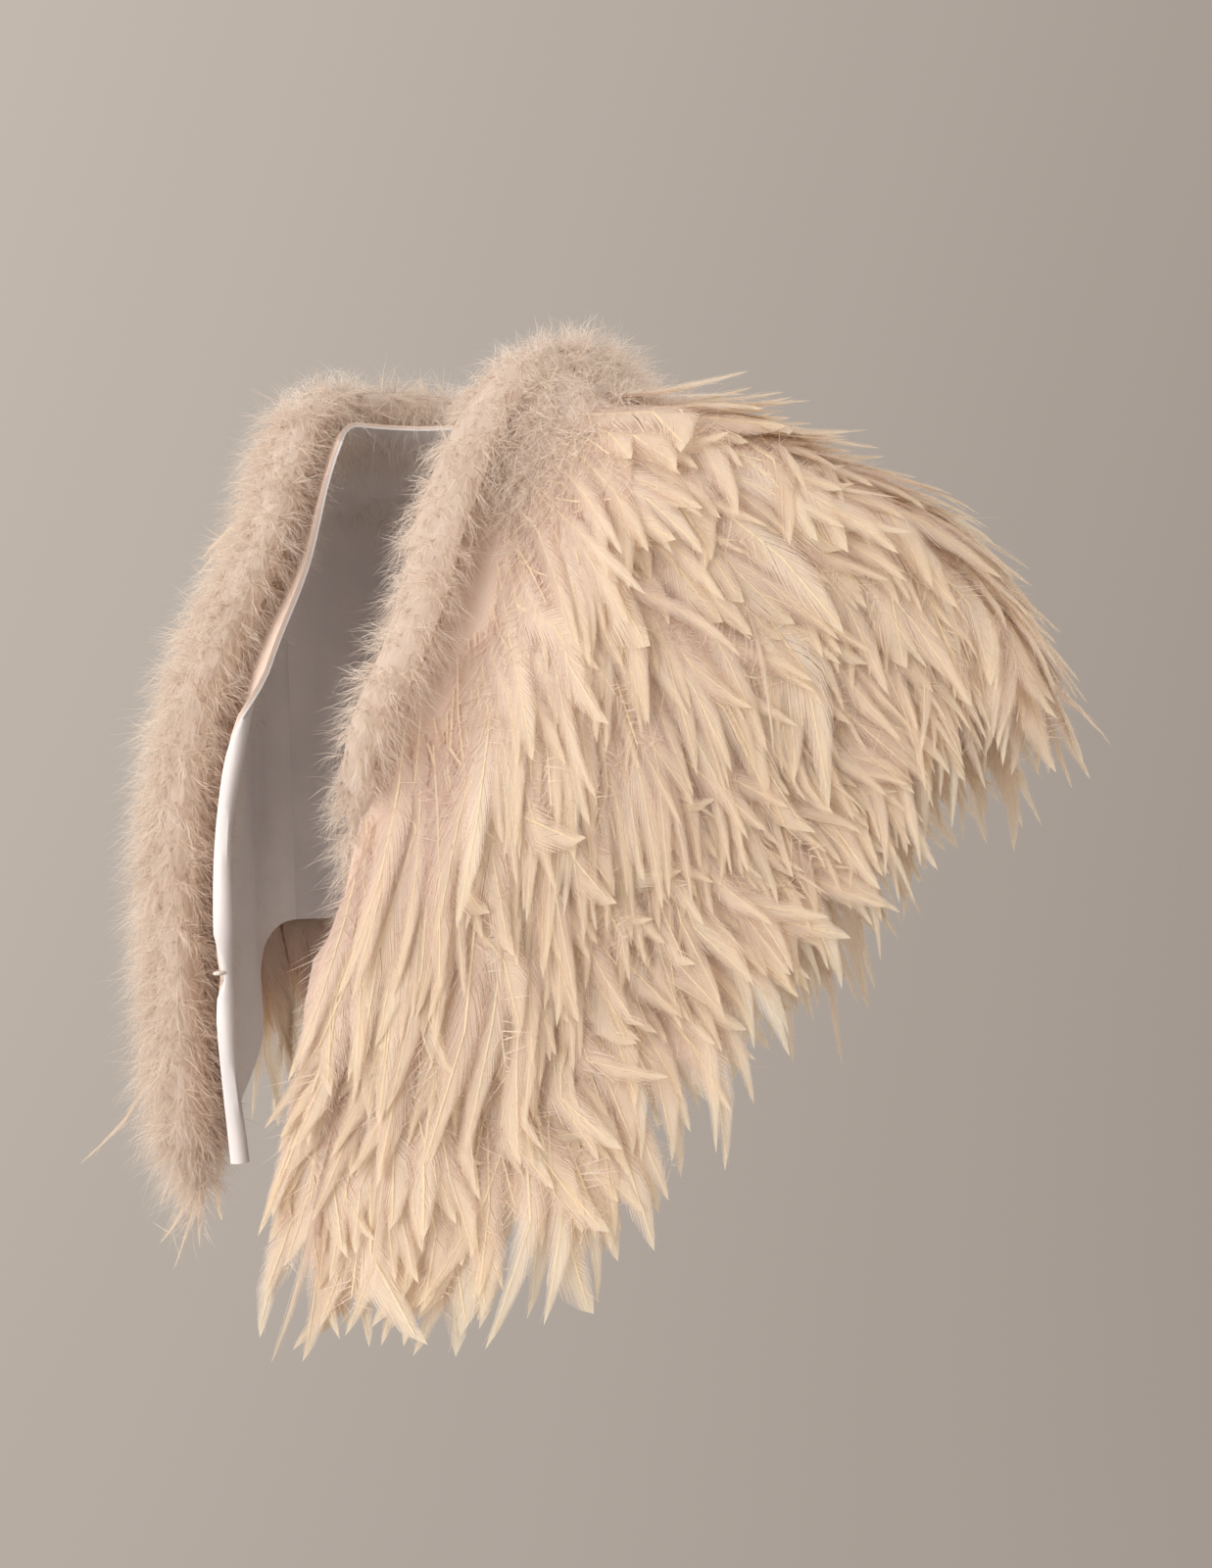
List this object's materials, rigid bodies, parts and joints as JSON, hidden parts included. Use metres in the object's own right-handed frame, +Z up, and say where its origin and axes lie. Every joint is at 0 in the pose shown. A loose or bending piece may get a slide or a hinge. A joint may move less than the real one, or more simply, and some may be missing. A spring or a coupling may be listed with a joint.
{
  "type": "feather cape",
  "caption": "Short open-front shoulder cape in pale blush, covered in overlapping tiers of long pointed feathers, edged with fluffy down at neck and fronts, with a satin lining.",
  "frame": {"origin": "middle of the neck, level with the top of the wearer's shoulders", "axes": "+Z up, the wearer faces -Y and the wearer's left is +X"},
  "size_m": [0.4854, 0.3258, 0.4642],
  "materials": {
    "ground_cloth": "matt woven cotton",
    "satin_lining": "soft satin sheen",
    "hackle_feather": "feather, soft gloss on the quills",
    "marabou_down": "soft matt down",
    "thread": "silky thread"
  },
  "bodies": {
    "root": {"shell_back": "ground_cloth", "shell_left_front": "ground_cloth", "shell_right_front": "ground_cloth", "lining_back": "satin_lining", "lining_left_front": "satin_lining", "lining_right_front": "satin_lining", "feather_tier_1": "hackle_feather", "feather_tier_2": "hackle_feather", "feather_tier_3": "hackle_feather", "feather_tier_4": "hackle_feather", "feather_tier_5": "hackle_feather", "feather_tier_6": "hackle_feather", "feather_tier_7": "hackle_feather", "marabou_collar": "marabou_down", "marabou_left_front": "marabou_down", "marabou_right_front": "marabou_down", "closure_hook": "thread"}
  },
  "joints": []
}
